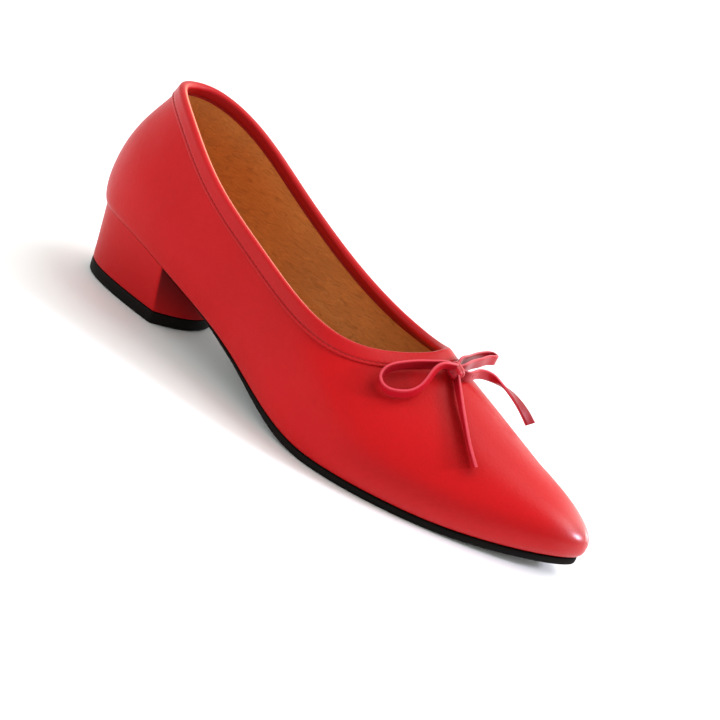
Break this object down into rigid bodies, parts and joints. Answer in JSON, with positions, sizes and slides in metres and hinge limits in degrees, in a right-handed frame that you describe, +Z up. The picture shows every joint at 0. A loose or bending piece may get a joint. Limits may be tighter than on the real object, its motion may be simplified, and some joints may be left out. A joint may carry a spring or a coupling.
{
  "type": "ballet pump",
  "caption": "Right ballet pump with a pointed toe, low block heel, bound collar and a tied leather bow on the vamp; worn on the foot.",
  "frame": {"origin": "On the floor under the middle of the shoe's box, measured without the bow", "axes": "+X to the toe, +Y to the inner side of the right foot, +Z up"},
  "size_m": [0.2554, 0.0826, 0.0937],
  "materials": {
    "red_leather": "smooth satin",
    "red_binding": "smooth satin tape",
    "tan_leather": "fine grain, matt",
    "black_rubber": "matt"
  },
  "bodies": {
    "root": {"upper": "red_leather", "topline_binding": "red_binding", "insole": "tan_leather", "outsole": "black_rubber", "heel_block": "red_leather", "heel_top_lift": "black_rubber", "bow_knot": "red_leather", "bow_loop_outer": "red_leather", "bow_loop_inner": "red_leather", "bow_tail_outer": "red_leather", "bow_tail_inner": "red_leather"}
  },
  "joints": []
}
